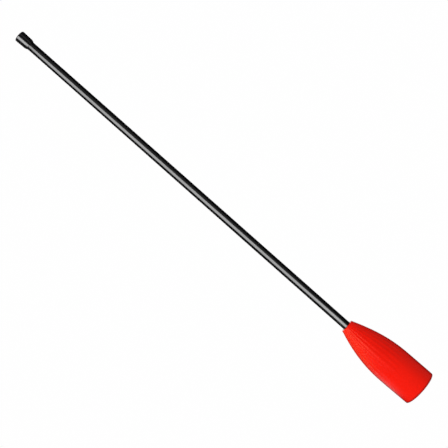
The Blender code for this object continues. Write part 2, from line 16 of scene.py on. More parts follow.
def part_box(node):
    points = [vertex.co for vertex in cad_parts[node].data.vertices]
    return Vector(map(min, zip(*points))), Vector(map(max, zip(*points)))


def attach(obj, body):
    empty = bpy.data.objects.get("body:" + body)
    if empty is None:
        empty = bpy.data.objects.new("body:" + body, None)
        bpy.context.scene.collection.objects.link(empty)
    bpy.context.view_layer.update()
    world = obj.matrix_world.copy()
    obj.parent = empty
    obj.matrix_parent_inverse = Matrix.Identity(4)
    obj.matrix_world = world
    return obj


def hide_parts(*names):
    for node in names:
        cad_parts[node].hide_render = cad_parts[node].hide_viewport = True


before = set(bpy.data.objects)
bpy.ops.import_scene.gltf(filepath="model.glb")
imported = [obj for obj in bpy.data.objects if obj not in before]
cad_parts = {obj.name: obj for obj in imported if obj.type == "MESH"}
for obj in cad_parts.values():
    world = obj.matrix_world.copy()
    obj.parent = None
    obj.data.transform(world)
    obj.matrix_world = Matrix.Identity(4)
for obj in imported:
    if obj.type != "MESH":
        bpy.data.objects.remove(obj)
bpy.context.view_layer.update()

scene = bpy.context.scene
MM = 0.001
TAU = math.tau


def node_heights(name):
    """Lowest and highest z of one of the frame's pieces."""
    low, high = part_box(name)
    return float(low[2]) / MM, float(high[2]) / MM


# ==================================================================================================
# Sizes shared between pieces
# ==================================================================================================
# Bell: a skirt from the rim up to its widest place, then a taper up to the neck
NECK_Z = node_heights("bell_shell")[1]
TAPER = 207.0
NECK_R = 22.8
BELL_R = 65.3
RIM_R = 64.6
WALL = 3.4
WAIST = 0.9  # how far the taper is drawn in, at most
WAIST_GAIN = 12.2  # brings the waist curve's peak to about 1
LEAN = 4.5  # drift towards +X at the rim
LEAN_TOP = 268.0

# Lengthwise flutes and the heights over which they fade out
FLUTES = 24
FLUTE_DEPTH = 0.55
FLUTE_TOP, FLUTE_TOP_FADE = 313.0, 22.0
FLUTE_FOOT, FLUTE_FOOT_FADE = 78.0, 95.0

GAP = 0.3  # clearance between fitted pieces
TUBE_R = 15.0
TUBE_WALL = 1.5
BORE_R = TUBE_R + GAP  # of whatever fits over the tube
TUBE_Z0, TUBE_Z1 = node_heights("shaft_tube")
CAP_Z0, CAP_Z1 = node_heights("handle_cap")

# Ring groove in the neck's bore
NECK_GROOVE_Z0, NECK_GROOVE_Z1 = 302.0, 305.6

# Screw bosses in the bell
BOSS_ANGLES = [30.0 + 120.0 * i for i in range(3)]
BOSS_AXIS = 44.5  # distance of a boss from the oar's axis
BOSS_Z0, BOSS_HEIGHT = 197.4, 28.6
BOSS_Z1 = BOSS_Z0 + BOSS_HEIGHT

# Hub flange
FLANGE_Z0, FLANGE_THICK, FLANGE_R = 192.0, 5.0, 53.4
FLANGE_Z1 = FLANGE_Z0 + FLANGE_THICK

# Plugs in the tube, their rings and the pin across the lower one
PLUG_R = 13.2
ANCHOR_RING_Z = 267.0
ANCHOR_TOP = 274.0
HANDLE_RING_Z = TUBE_Z1 - 16.0
PIN_Z = 257.0
PIN_HOLE_R = 2.8

BOLT_PITCH = 1.25  # shared by the hub bolt and the threaded insert


def smooth01(t):
    t = max(0.0, min(1.0, t))
    return t * t * (3.0 - 2.0 * t)


def bell_radius(z):
    start = NECK_Z - TAPER
    if z <= start:
        rise = z / start
        return RIM_R + (BELL_R - RIM_R) * rise * (2.0 - rise)
    rise = (z - start) / TAPER
    waist = WAIST * WAIST_GAIN * rise**4 * (1.0 - rise)
    return BELL_R - (BELL_R - NECK_R) * rise * rise - waist


# ==================================================================================================
# Outline helpers
# ==================================================================================================
def fillet(points, closed=True):
    """Rounds corners. Points are (r, z), or (r, z, fillet radius, steps) to become an arc."""
    out = []
    count = len(points)
    for i, point in enumerate(points):
        if len(point) == 2 or (not closed and i in (0, count - 1)):
            out.append((point[0], point[1]))
            continue
        radius, steps = point[2:]
        corner = np.array(point[:2], float)
        to_last = np.array(points[i - 1][:2], float) - corner
        to_next = np.array(points[(i + 1) % count][:2], float) - corner
        last_length, next_length = np.linalg.norm(to_last), np.linalg.norm(to_next)
        to_last, to_next = to_last / last_length, to_next / next_length
        half = math.acos(max(-1.0, min(1.0, float(to_last @ to_next)))) / 2
        if half > math.radians(88):  # nearly straight
            out.append((point[0], point[1]))
            continue
        cut = min(radius / math.tan(half), last_length * 0.49, next_length * 0.49)
        real = cut * math.tan(half)
        middle = to_last + to_next
        centre = corner + middle / np.linalg.norm(middle) * (real / math.sin(half))
        first = corner + to_last * cut - centre
        final = corner + to_next * cut - centre
        angle0 = math.atan2(first[1], first[0])
        angle1 = math.atan2(final[1], final[0])
        turn = (angle1 - angle0 + math.pi) % TAU - math.pi
        for k in range(steps + 1):
            angle = angle0 + turn * k / steps
            out.append(
                (
                    float(centre[0] + real * math.cos(angle)),
                    float(centre[1] + real * math.sin(angle)),
                )
            )
    return out


def arc(centre_r, centre_z, radius, start, end, steps):
    """Points on an arc, its angles in degrees."""
    angles = [math.radians(start + (end - start) * i / steps) for i in range(steps + 1)]
    return [
        (centre_r + radius * math.cos(angle), centre_z + radius * math.sin(angle))
        for angle in angles
    ]


def circle(radius, steps):
    angles = [TAU * i / steps for i in range(steps)]
    return [(radius * math.cos(angle), radius * math.sin(angle)) for angle in angles]


def span(z0, z1, step):
    """Heights from z0 to z1, both included, no further apart than step."""
    count = max(1, int(math.ceil(abs(z1 - z0) / step)))
    return [z0 + (z1 - z0) * i / count for i in range(count + 1)]


def level(z, outline):
    return [(x, y, z) for x, y in outline]


# ==================================================================================================
# Mesh helpers
# ==================================================================================================
def add_object(name, mesh):
    ob = bpy.data.objects.new(name, mesh)
    scene.collection.objects.link(ob)
    return ob


def smooth_shade(mesh, sharp):
    mesh.shade_smooth()
    mesh.set_sharp_from_angle(angle=math.radians(sharp))


def mesh_object(name, verts, faces, sharp):
    mesh = bpy.data.meshes.new(name)
    mesh.from_pydata(verts, [], faces)
    mesh.validate()
    bm = bmesh.new()
    bm.from_mesh(mesh)
    bmesh.ops.recalc_face_normals(bm, faces=bm.faces[:])
    bm.to_mesh(mesh)
    bm.free()
    smooth_shade(mesh, sharp)
    return add_object(name, mesh)


def revolve(name, profile, segments, shift=None, sharp=35.0):
    """Turns a loop of (r, z) points round Z. Points with r = 0 are poles.

    shift(radius, z, angle) may return another radius.
    """
    verts, rings = [], []
    for radius, z in profile:
        if radius <= 1e-9:
            rings.append([len(verts)])
            verts.append((0.0, 0.0, z * MM))
            continue
        ring = []
        for k in range(segments):
            angle = TAU * k / segments
            moved = shift(radius, z, angle) if shift else radius
            ring.append(len(verts))
            verts.append((moved * math.cos(angle) * MM, moved * math.sin(angle) * MM, z * MM))
        rings.append(ring)
    faces = []
    count = len(rings)
    pole_to_pole = len(rings[0]) == 1 and len(rings[-1]) == 1
    for i in range(count - 1 if pole_to_pole else count):
        low, high = rings[i], rings[(i + 1) % count]
        if len(low) == 1 and len(high) == 1:
            continue
        for k in range(segments):
            m = (k + 1) % segments
            if len(low) == 1:
                faces.append((low[0], high[m], high[k]))
            elif len(high) == 1:
                faces.append((low[k], low[m], high[0]))
            else:
                faces.append((low[k], low[m], high[m], high[k]))
    return mesh_object(name, verts, faces, sharp)


def loft(name, rings, quad_ends=False, matrix=None, sharp=35.0):
    """Joins rings of equally many (x, y, z) points into one closed body."""
    count = len(rings[0])
    verts = [(x * MM, y * MM, z * MM) for ring in rings for x, y, z in ring]
    faces = []
    for i in range(len(rings) - 1):
        low, high = i * count, (i + 1) * count
        for k in range(count):
            m = (k + 1) % count
            faces.append((low + k, low + m, high + m, high + k))
    for base in (0, (len(rings) - 1) * count):
        if quad_ends:
            for k in range(count // 2 - 1):
                opposite = base + count - 1 - k
                faces.append((base + k, base + k + 1, opposite - 1, opposite))
        else:
            faces.append(tuple(base + k for k in range(count)))
    if matrix is not None:
        verts = [tuple(matrix @ Vector(v)) for v in verts]
    return mesh_object(name, verts, faces, sharp)


def prism(name, outline, depth, matrix, bevel=0.0):
    """An (x, y) outline raised by depth along Z, then placed by the matrix."""
    bm = bmesh.new()
    face = bm.faces.new([bm.verts.new((x * MM, y * MM, 0.0)) for x, y in outline])
    moved = bmesh.ops.extrude_face_region(bm, geom=[face])["geom"]
    bmesh.ops.translate(
        bm,
        verts=[item for item in moved if isinstance(item, bmesh.types.BMVert)],
        vec=(0, 0, depth * MM),
    )
    bmesh.ops.recalc_face_normals(bm, faces=bm.faces[:])
    if bevel:
        bmesh.ops.bevel(
            bm,
            geom=bm.edges[:] + bm.verts[:],
            offset=bevel * MM,
            segments=2,
            profile=0.5,
            affect="EDGES",
        )
    bmesh.ops.transform(bm, matrix=matrix, verts=bm.verts[:])
    mesh = bpy.data.meshes.new(name)
    bm.to_mesh(mesh)
    bm.free()
    return add_object(name, mesh)


def combine(ob, others, operation, sharp=35.0):
    """Boolean with each of the others in turn, applied, and the others removed."""
    for other in others:
        mod = ob.modifiers.new("join", "BOOLEAN")
        mod.object = other
        mod.operation = operation
        mod.solver = "MANIFOLD"
        depsgraph = bpy.context.evaluated_depsgraph_get()
        made = bpy.data.meshes.new_from_object(ob.evaluated_get(depsgraph))
        ob.modifiers.remove(mod)
        old = ob.data
        ob.data = made
        made.name = old.name
        bpy.data.meshes.remove(old)
        bpy.data.objects.remove(other, do_unlink=True)
    smooth_shade(ob.data, sharp)


def turn_z(degrees):
    return Matrix.Rotation(math.radians(degrees), 4, "Z")


def place(angle, radius, z):
    """Moved out along X and up, then turned round Z."""
    return turn_z(angle) @ Matrix.Translation((radius * MM, 0, z * MM))


def stand_up(angle, radius, thick):
    """Stands an (r, z) outline of this thickness up in a plane through the axis."""
    return (
        turn_z(angle)
        @ Matrix.Translation((radius * MM, thick / 2 * MM, 0))
        @ Matrix.Rotation(math.radians(90), 4, "X")
    )


def across(length):
    """Lays a prism of this length along X, centred at the pin's height."""
    return Matrix.Translation((-length / 2 * MM, 0, PIN_Z * MM)) @ Matrix.Rotation(
        math.radians(90), 4, "Y"
    )


def cut_pin_hole(ob, name, steps):
    length = 34.0
    cutter = prism(name, circle(PIN_HOLE_R, steps), length, across(length))
    combine(ob, [cutter], "DIFFERENCE")


# ==================================================================================================
# Node helpers
# ==================================================================================================
class Nodes:
    """Adds nodes to a tree. Inputs may be plain values or other nodes' sockets."""

    def __init__(self, tree):
        self.tree = tree

    def node(self, kind, **settings):
        made = self.tree.nodes.new(kind)
        for key, value in settings.items():
            setattr(made, key, value)
        return made

    def put(self, socket, value):
        if isinstance(value, bpy.types.NodeSocket):
            self.tree.links.new(value, socket)
        else:
            socket.default_value = value

    def math(self, operation, a, b=0.0, c=None, clamp=False):
        made = self.node("ShaderNodeMath", operation=operation, use_clamp=clamp)
        self.put(made.inputs[0], a)
        self.put(made.inputs[1], b)
        if c is not None:
            self.put(made.inputs[2], c)
        return made.outputs[0]

    def range(self, value, source=(0.3, 0.7), to=(0.0, 1.0), clamp=True, smooth=False):
        """Maps one range on another. The default source is where most of a noise lies."""
        made = self.node("ShaderNodeMapRange", clamp=clamp)
        if smooth:
            made.interpolation_type = "SMOOTHSTEP"
        self.put(made.inputs["Value"], value)
        made.inputs["From Min"].default_value = source[0]
        made.inputs["From Max"].default_value = source[1]
        made.inputs["To Min"].default_value = to[0]
        made.inputs["To Max"].default_value = to[1]
        return made.outputs["Result"]


class Material(Nodes):
    """A Principled material with textures in object coordinates, which are metres."""

    def __init__(self, name):
        self.mat = bpy.data.materials.new(name)
        self.mat.use_nodes = True
        super().__init__(self.mat.node_tree)
        self.bsdf = next(n for n in self.tree.nodes if n.type == "BSDF_PRINCIPLED")
        self.coords = self.node("ShaderNodeTexCoord").outputs["Object"]

    def set(self, name, value):
        self.put(self.bsdf.inputs[name], value)

    def space(self, stretch=(1, 1, 1)):
        made = self.node("ShaderNodeMapping")
        self.put(made.inputs["Vector"], self.coords)
        made.inputs["Scale"].default_value = stretch
        return made.outputs["Vector"]

    def height(self):
        made = self.node("ShaderNodeSeparateXYZ")
        self.put(made.inputs["Vector"], self.coords)
        return made.outputs["Z"]

    def noise(self, detail, rough, scale=1.0, stretch=(1, 1, 1), distort=0.0):
        vector = self.space(stretch)
        made = self.node("ShaderNodeTexNoise")
        self.put(made.inputs["Vector"], vector)
        made.inputs["Scale"].default_value = scale
        made.inputs["Detail"].default_value = detail
        made.inputs["Roughness"].default_value = rough
        made.inputs["Distortion"].default_value = distort
        return made.outputs["Fac"]

    def ramp(self, value, dark, light, stops=(0.0, 1.0)):
        made = self.node("ShaderNodeValToRGB")
        for element, stop, colour in zip(made.color_ramp.elements, stops, (dark, light)):
            element.position = stop
            element.color = (*colour, 1.0)
        self.put(made.inputs["Fac"], value)
        return made.outputs["Color"]

    def tones(self, noise, dark, light):
        return self.ramp(self.range(noise), dark, light)

    def add(self, a, b):
        return self.math("ADD", a, b)

    def scaled(self, value, by, clamp=False):
        return self.math("MULTIPLY", value, by, clamp=clamp)

    def mix(self, amount, under, over, blend="MIX"):
        made = self.node("ShaderNodeMix", data_type="RGBA", blend_type=blend)
        self.put(made.inputs["Factor"], amount)
        self.put(made.inputs[6], under)
        self.put(made.inputs[7], over)
        return made.outputs[2]

    def shade(self, colour, value):
        """The colour multiplied by a single value."""
        grey = self.node("ShaderNodeCombineColor")
        for channel in ("Red", "Green", "Blue"):
            self.put(grey.inputs[channel], value)
        return self.mix(1.0, colour, grey.outputs["Color"], "MULTIPLY")

    def bump(self, height, strength, distance, normal=None):
        made = self.node("ShaderNodeBump")
        self.put(made.inputs["Height"], height)
        made.inputs["Strength"].default_value = strength
        made.inputs["Distance"].default_value = distance
        if normal is not None:
            self.put(made.inputs["Normal"], normal)
        return made.outputs["Normal"]


# ==================================================================================================
# Materials
# ==================================================================================================
def red_material():
    """Moulded plastic of the blade."""
    m = Material("red_moulded_plastic")
    cloud = m.noise(stretch=(9, 9, 5), detail=3.0, rough=0.5)
    flow = m.noise(stretch=(90, 90, 7), detail=3.0, rough=0.55, distort=0.4)
    grain = m.noise(scale=1500.0, detail=2.0, rough=0.6)
    base = m.tones(cloud, dark=(0.870, 0.0064, 0.0004), light=(0.925, 0.0084, 0.0010))
    base = m.shade(base, m.range(flow, source=(0.35, 0.68), to=(0.975, 1.015)))
    # pale scuffs near the rim
    z = m.height()
    near_rim = m.range(z, source=(0.0, 0.020), to=(1.0, 0.0), smooth=True)
    scuff_noise = m.noise(stretch=(260, 260, 420), detail=5.0, rough=0.7, distort=0.6)
    scuff = m.scaled(m.range(scuff_noise, source=(0.60, 0.72)), by=near_rim, clamp=True)
    scuff = m.scaled(scuff, by=0.22)
    base = m.mix(scuff, under=base, over=(0.80, 0.16, 0.13, 1.0))
    # painted shade: the base colour is darkened where the surface turns away from the view,
    # standing in for a dark outline along the silhouette
    turn = m.node("ShaderNodeLayerWeight")
    turn.inputs["Blend"].default_value = 0.5
    painted_shade = m.range(turn.outputs["Facing"], source=(0.44, 0.98), to=(1.0, 0.40), smooth=True)
    # painted shade: darker along the lip, standing in for the shade on the rolled edge
    painted_shade = m.scaled(painted_shade, by=m.range(z, source=(0.0, 0.0095), to=(0.38, 1.0), smooth=True))
    # painted shade: the taper, which faces up a little, is made a shade darker than the skirt to
    # tone down how brightly it is lit
    painted_shade = m.scaled(painted_shade, by=m.range(z, source=(0.09, 0.21), to=(1.0, 0.95), smooth=True))
    m.set("Base Color", m.shade(base, painted_shade))
    rough = m.range(cloud, to=(0.29, 0.36))
    rough = m.add(rough, m.range(grain, to=(-0.03, 0.03), clamp=False))
    m.set("Roughness", m.add(rough, m.scaled(scuff, by=0.5)))
    m.set("IOR", 1.46)
    m.set("Specular IOR Level", 0.13)
    fine_bump = m.bump(grain, strength=0.18, distance=0.00025)
    m.set("Normal", m.bump(flow, strength=0.10, distance=0.0006, normal=fine_bump))
    return m.mat


def tube_material():
    """Black lacquer on drawn aluminium, with fine lengthwise scratches."""
    m = Material("black_lacquered_tube")
    drawn = m.noise(stretch=(900, 900, 3.0), detail=3.0, rough=0.6)
    wave = m.noise(stretch=(60, 60, 9.0), detail=2.0, rough=0.5)
    scratch = m.noise(stretch=(500, 500, 14.0), detail=4.0, rough=0.75, distort=1.4)
    dust = m.noise(scale=420.0, detail=3.0, rough=0.6)
    fine = m.range(scratch, source=(0.70, 0.76))
    base = m.tones(drawn, dark=(0.0016, 0.0016, 0.0018), light=(0.0032, 0.0032, 0.0035))
    base = m.mix(m.scaled(fine, by=0.25), under=base, over=(0.05, 0.05, 0.052, 1.0))
    m.set("Base Color", base)
    rough = m.range(drawn, to=(0.15, 0.20))
    rough = m.add(rough, m.range(dust, source=(0.5, 0.75), to=(0.0, 0.05)))
    m.set("Roughness", m.add(rough, m.scaled(fine, by=0.12)))
    m.set("IOR", 2.3)
    m.set("Specular IOR Level", 0.5)
    fine_bump = m.bump(drawn, strength=0.05, distance=0.00004)
    m.set("Normal", m.bump(wave, strength=0.06, distance=0.0003, normal=fine_bump))
    return m.mat


def cap_material():
    """Dipped black vinyl with an orange-peel surface and small nicks."""
    m = Material("black_vinyl_cap")
    peel = m.noise(scale=380.0, detail=2.0, rough=0.5)
    cloud = m.noise(stretch=(40, 40, 40), detail=3.0, rough=0.55)
    nick_noise = m.noise(stretch=(300, 300, 300), detail=5.0, rough=0.75, distort=0.8)
    nick = m.range(nick_noise, source=(0.66, 0.72))
    base = m.tones(cloud, dark=(0.0050, 0.0050, 0.0053), light=(0.0080, 0.0080, 0.0084))
    base = m.mix(m.scaled(nick, by=0.18), under=base, over=(0.035, 0.035, 0.036, 1.0))
    m.set("Base Color", base)
    rough = m.range(cloud, to=(0.15, 0.21))
    m.set("Roughness", m.add(rough, m.scaled(nick, by=0.15)))
    m.set("IOR", 2.3)
    m.set("Normal", m.bump(peel, strength=0.06, distance=0.0002))
    return m.mat


def hub_material():
    """Black glass-filled plastic."""
    m = Material("black_filled_plastic")
    grain = m.noise(scale=1100.0, detail=3.0, rough=0.65)
    cloud = m.noise(stretch=(22, 22, 22), detail=4.0, rough=0.6)
    m.set("Base Color", m.tones(cloud, dark=(0.020, 0.020, 0.021), light=(0.034, 0.034, 0.035)))
    m.set("Roughness", m.range(grain, to=(0.42, 0.60)))
    m.set("Normal", m.bump(grain, strength=0.25, distance=0.0002))
    return m.mat


def plug_material():
    """Off-white nylon with faint turning marks."""
    m = Material("natural_nylon")
    cloud = m.noise(stretch=(60, 60, 60), detail=4.0, rough=0.55)
    turned = m.noise(stretch=(3, 3, 900), detail=2.0, rough=0.5)
    m.set("Base Color", m.tones(cloud, dark=(0.68, 0.66, 0.60), light=(0.78, 0.76, 0.70)))
    m.set("Roughness", m.range(turned, to=(0.42, 0.55)))
    m.set("Subsurface Weight", 0.06)
    m.set("Subsurface Radius", (0.002, 0.002, 0.0015))
    m.set("Normal", m.bump(turned, strength=0.2, distance=0.0001))
    return m.mat


def foam_material():
    """Grey closed-cell foam."""
    m = Material("closed_cell_foam")
    cells = m.node("ShaderNodeTexVoronoi")
    m.put(cells.inputs["Vector"], m.space())
    cells.inputs["Scale"].default_value = 900.0
    cloud = m.noise(stretch=(70, 70, 70), detail=4.0, rough=0.6)
    m.set("Base Color", m.tones(cloud, dark=(0.23, 0.24, 0.26), light=(0.33, 0.34, 0.36)))
    m.set("Roughness", 0.92)
    m.set("Specular IOR Level", 0.2)
    m.set("Normal", m.bump(cells.outputs["Distance"], strength=0.6, distance=0.0004))
    return m.mat


def seal_material():
    """Black rubber of the rings."""
    m = Material("black_nitrile_rubber")
    grain = m.noise(scale=1400.0, detail=3.0, rough=0.6)
    base = m.ramp(
        grain, dark=(0.010, 0.010, 0.010), light=(0.018, 0.018, 0.018), stops=(0.3, 0.7)
    )
    m.set("Base Color", base)
    m.set("Roughness", m.range(grain, to=(0.45, 0.62)))
    m.set("Normal", m.bump(grain, strength=0.2, distance=0.0001))
    return m.mat


def metal_material(name, turned, cloud_stretch, dark, light, rough, bump):
    """Bare metal. turned holds the settings of the machining marks' noise."""
    m = Material(name)
    marks = m.noise(**turned)
    cloud = m.noise(stretch=cloud_stretch, detail=3.0, rough=0.6)
    m.set("Base Color", m.tones(cloud, dark=dark, light=light))
    m.set("Metallic", 1.0)
    m.set("Roughness", m.range(marks, to=rough))
    m.set("Normal", m.bump(marks, **bump))
    return m.mat


def steel_material():
    return metal_material(
        "stainless_steel",
        turned=dict(stretch=(500, 500, 500), detail=4.0, rough=0.7),
        cloud_stretch=(120, 120, 120),
        dark=(0.52, 0.51, 0.49),
        light=(0.66, 0.65, 0.63),
        rough=(0.24, 0.40),
        bump=dict(strength=0.12, distance=0.00008),
    )


def brass_material():
    return metal_material(
        "turned_brass",
        turned=dict(stretch=(8, 8, 1800), detail=3.0, rough=0.6),
        cloud_stretch=(150, 150, 150),
        dark=(0.58, 0.40, 0.14),
        light=(0.74, 0.54, 0.22),
        rough=(0.22, 0.36),
        bump=dict(strength=0.15, distance=0.00006),
    )


# each of the frame's slots and the material that fills it
MATERIALS = {
    "blade_red": red_material(),
    "shaft_black": tube_material(),
    "cap_black": cap_material(),
    "hub_black": hub_material(),
    "plug_white": plug_material(),
    "foam_grey": foam_material(),
    "seal_black": seal_material(),
    "stainless": steel_material(),
    "brass": brass_material(),
}


def stand_in(ob, node, body, slot):
    """Gives a finished piece its material and puts it in place of the frame's node."""
    ob.data.materials.clear()
    ob.data.materials.append(MATERIALS[slot])
    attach(ob, body)
    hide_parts(node)


# ==================================================================================================
# Blade: hollow bell with fine flutes, a neck with a ring groove, and screw bosses inside
# ==================================================================================================
def shell_profile():
    edge = 1.7  # rounding of the rim's and the neck's outer edges
    outer = arc(bell_radius(0) - edge, edge, edge, -90, 0, 8)
    outer += [(bell_radius(z), z) for z in range(4, int(NECK_Z), 3) if z < NECK_Z - 4.0]
    top = arc(bell_radius(NECK_Z - edge) - edge, NECK_Z - edge, edge, 12, 90, 8)
    bore = fillet(
        [
            (18.0, NECK_Z),
            (BORE_R, NECK_Z, 0.7, 4),
            (BORE_R, NECK_GROOVE_Z1, 0.15, 2),
            (18.6, NECK_GROOVE_Z1, 0.3, 2),
            (18.6, NECK_GROOVE_Z0, 0.3, 2),
            (BORE_R, NECK_GROOVE_Z0, 0.15, 2),
            (BORE_R, 286.0, 0.6, 3),
            (21.3, 286.0, 0.8, 3),
            (21.3, 303.0, 1.0, 4),
            (22.1, 304.0, 0.5, 3),
            (25.5, 300.5),  # only aims the last arc
        ],
        closed=False,
    )[:-1]

    def inner_radius(z):
        slope = bell_radius(z + 0.5) - bell_radius(z - 0.5)
        return bell_radius(z) - WALL * math.sqrt(1.0 + slope * slope)

    inside = [(inner_radius(z), z) for z in range(300, 112, -6)]
    inside += [(bell_radius(z) - WALL, z) for z in range(108, 5, -12)]
    inside += arc(RIM_R - WALL + 1.0, 1.0, 1.0, 180, 270, 6)
    return outer + top + bore + inside


def flute(radius, z, angle):
    """Rounded ridges with slightly narrower valleys, on the outer surface only."""
    if radius < bell_radius(max(0.0, min(NECK_Z, z))) - 1.0:
        return radius
    weight = smooth01((FLUTE_TOP - z) / FLUTE_TOP_FADE) * smooth01(
        (z - FLUTE_FOOT) / FLUTE_FOOT_FADE
    )
    shape = -math.cos(FLUTES * angle) * 0.86 - 0.14 * math.cos(2 * FLUTES * angle)
    return radius + FLUTE_DEPTH * weight * shape


def lean(z):
    """The moulding is not quite true: its lower part drifts sideways."""
    return LEAN * max(0.0, 1.0 - z / LEAN_TOP) ** 1.15


def make_blade():
    sharp = 40.0
    blade = revolve("blade_shell", shell_profile(), FLUTES * 12, flute, sharp)
    for v in blade.data.vertices:
        v.co.x += lean(v.co.z / MM) * MM

    def wall_reach(z):
        """From a boss's axis to 1.8 mm into the bell's wall."""
        return bell_radius(z) - WALL + 1.8 - BOSS_AXIS

    # (r, z) from the boss's axis
    web = [
        (1.0, BOSS_Z0 + 1.0),
        (wall_reach(BOSS_Z0), BOSS_Z0 + 1.0),
        (wall_reach(BOSS_Z1), BOSS_Z1 - 1.0),
        (1.0, BOSS_Z1 - 1.0),
    ]
    web_thick = 4.0
    adds, cuts = [], []
    for i, angle in enumerate(BOSS_ANGLES):
        foot = place(angle, BOSS_AXIS, BOSS_Z0)
        adds.append(prism("boss_%d" % i, circle(4.6, 32), BOSS_HEIGHT, foot))
        upright = stand_up(angle, BOSS_AXIS, web_thick)
        adds.append(prism("web_%d" % i, web, web_thick, upright))
        below = place(angle, BOSS_AXIS, BOSS_Z0 - 1.0)
        cuts.append(prism("hole_%d" % i, circle(2.3, 24), 16.0, below))
    combine(blade, adds, "UNION", sharp)
    combine(blade, cuts, "DIFFERENCE", sharp)
    stand_in(blade, "bell_shell", "blade", "blade_red")


# ==================================================================================================
# Tube, cap and hub
# ==================================================================================================
def make_tube():
    """Drawn tube with eased ends and the anchor pin's cross hole."""
    inner = TUBE_R - TUBE_WALL
    # rings of points below and above the cross hole
    low, high = PIN_Z - 11.0, PIN_Z + 11.0
    profile = fillet(
        [
            (inner, TUBE_Z0, 0.35, 3),
            (TUBE_R, TUBE_Z0, 0.45, 4),
            (TUBE_R, low),
            (TUBE_R, high),
            (TUBE_R, 400.0),
            (TUBE_R, 800.0),
            (TUBE_R, 1200.0),
            (TUBE_R, TUBE_Z1, 0.45, 4),
            (inner, TUBE_Z1, 0.35, 3),
            (inner, high),
            (inner, low),
        ]
    )
    tube = revolve("shaft_tube_skin", profile, 128)
    cut_pin_hole(tube, "pin_hole", 32)
    stand_in(tube, "shaft_tube", "shaft", "shaft_black")
    return tube


def make_cap():
    """Thicker at the closed end, with a sloped shoulder and a thin lip."""
    profile = fillet(
        [
            (0.0, CAP_Z1),
            (20.0, CAP_Z1, 3.1, 12),
            (20.0, CAP_Z1 - 9.0, 6.0, 4),
            (19.65, CAP_Z1 - 17.0, 6.0, 4),
            (19.1, CAP_Z0 + 15.0, 5.0, 3),
            (18.95, CAP_Z0 + 8.6, 1.6, 6),
            (16.7, CAP_Z0 + 1.6, 1.4, 5),
            (16.4, CAP_Z0, 0.5, 4),
            (BORE_R, CAP_Z0, 0.3, 3),
            (BORE_R, 1770.6, 1.0, 4),
            (0.0, 1770.6),
        ],
        closed=False,
    )
    cap = revolve("handle_cap_skin", profile, 128)
    stand_in(cap, "handle_cap", "cap", "cap_black")
    return cap


def make_hub():
    """One moulding with a socket, a floor, a flange and six fins."""
    profile = fillet(
        [
            (15.4, FLANGE_Z0, 0.6, 3),
            (FLANGE_R, FLANGE_Z0, 1.0, 4),
            (FLANGE_R, FLANGE_Z1, 0.8, 4),
            (19.4, FLANGE_Z1, 2.0, 5),
            (19.3, 285.4, 1.1, 4),
            (BORE_R, 285.4, 1.0, 4),
            (BORE_R, 207.7, 0.3, 2),
            (4.5, 207.7, 0.3, 2),
            (4.5, 199.6, 0.3, 2),
            (15.4, 199.6, 0.4, 2),
        ]
    )
    hub = revolve("socket_hub_skin", profile, 96)
    # (r, z)
    fin = [
        (17.9, FLANGE_Z1 - 1.0),
        (FLANGE_R - 3.0, FLANGE_Z1 - 1.0),
        (FLANGE_R - 3.0, FLANGE_Z1 + 3.0),
        (23.4, 258.0),
        (21.8, 262.0),
        (17.9, 262.0),
    ]
    fin_thick = 2.8
    adds = [
        prism("fin_%d" % i, fin, fin_thick, stand_up(60.0 * i, 0, fin_thick), bevel=0.35)
        for i in range(6)
    ]
    cuts = []
    cut_z, cut_depth = FLANGE_Z0 - 1.0, FLANGE_THICK + 2.0
    for angle in BOSS_ANGLES:
        on_boss = place(angle, BOSS_AXIS, cut_z)
        cuts.append(prism("screw_hole", circle(2.6, 24), cut_depth, on_boss))
        between = place(angle + 60.0, 36.0, cut_z)
        cuts.append(prism("drain_hole", circle(7.0, 40), cut_depth, between))
    combine(hub, adds, "UNION")
    combine(hub, cuts, "DIFFERENCE")
    stand_in(hub, "socket_hub", "blade", "hub_black")


# ==================================================================================================
# Rubber rings
# ==================================================================================================
def make_ring(node, body, major, minor, z):
    """A ring of round section, with the fine flash line that its mould leaves."""
    section = []
    for i in range(36):
        angle = TAU * i / 36
        radius = minor + (0.04 if i in (0, 18) else 0.0)
        section.append((major + radius * math.cos(angle), z + radius * math.sin(angle)))
    ring = revolve(node + "_skin", section, 144, sharp=50.0)
    stand_in(ring, node, body, "seal_black")


# ==================================================================================================
# Threads
# ==================================================================================================
def zigzag(phase):
    """1 at whole phases, 0 halfway between."""
    return abs(phase % 1.0 - 0.5) * 2.0


def ridge(phase, crest, flank):
    """A thread's form over one pitch: 1 on its crest, 0 in its root, with straight flanks."""
    return max(0.0, min(1.0, (crest + flank - zigzag(phase)) / flank))


def outside_thread(outer, depth, pitch, z0, z1, crest=0.125, flank=0.625, tapping=False):
    """A right-hand thread for revolve().

    A tapping one grows out of its core, the other is cut into the full shank.
    """

    def shift(radius, z, angle):
        if not z0 <= z <= z1:
            return radius
        form = ridge(z / pitch - angle / TAU, crest, flank)
        fade = smooth01((z - z0) / pitch)
        keep = form * fade if tapping else 1.0 - (1.0 - form) * fade
        turned = outer - depth * (1.0 - keep)
        return radius * turned / outer if tapping else min(radius, turned)

    return shift


